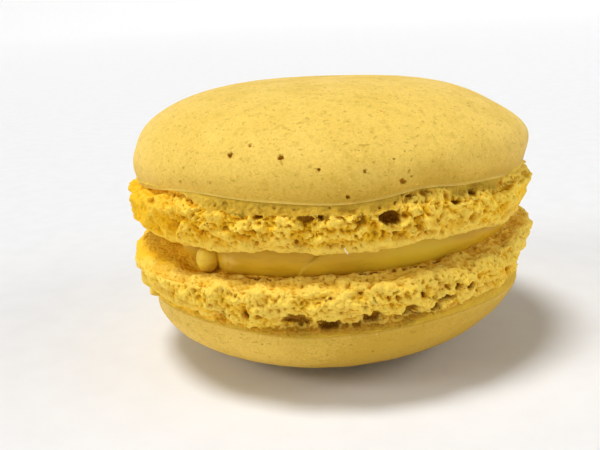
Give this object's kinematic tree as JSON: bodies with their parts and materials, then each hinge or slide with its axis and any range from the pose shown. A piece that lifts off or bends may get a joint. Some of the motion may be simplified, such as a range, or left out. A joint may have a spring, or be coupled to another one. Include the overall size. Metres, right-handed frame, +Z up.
{
  "type": "macaron",
  "caption": "Lemon-yellow macaron: a smooth domed almond shell with a ragged foot on either side of a piped filling, resting on its lower shell.",
  "frame": {"origin": "middle of the macaron's box at the surface that it rests on, under the lower shell's flat spot", "axes": "+Z up through both shells, -Y towards the side that the picture shows, +X to its right"},
  "size_m": [0.0448, 0.0446, 0.0292],
  "materials": {
    "baked_shell": "matte baked almond shell with a fine speckle and an open, crumbly foot",
    "cream_filling": "smooth satin cream",
    "lower_baked_shell": "matte baked almond shell with a fine speckle and an open, crumbly foot"
  },
  "bodies": {
    "root": {"upper_shell": "baked_shell", "filling": "cream_filling", "lower_shell": "lower_baked_shell"}
  },
  "joints": []
}
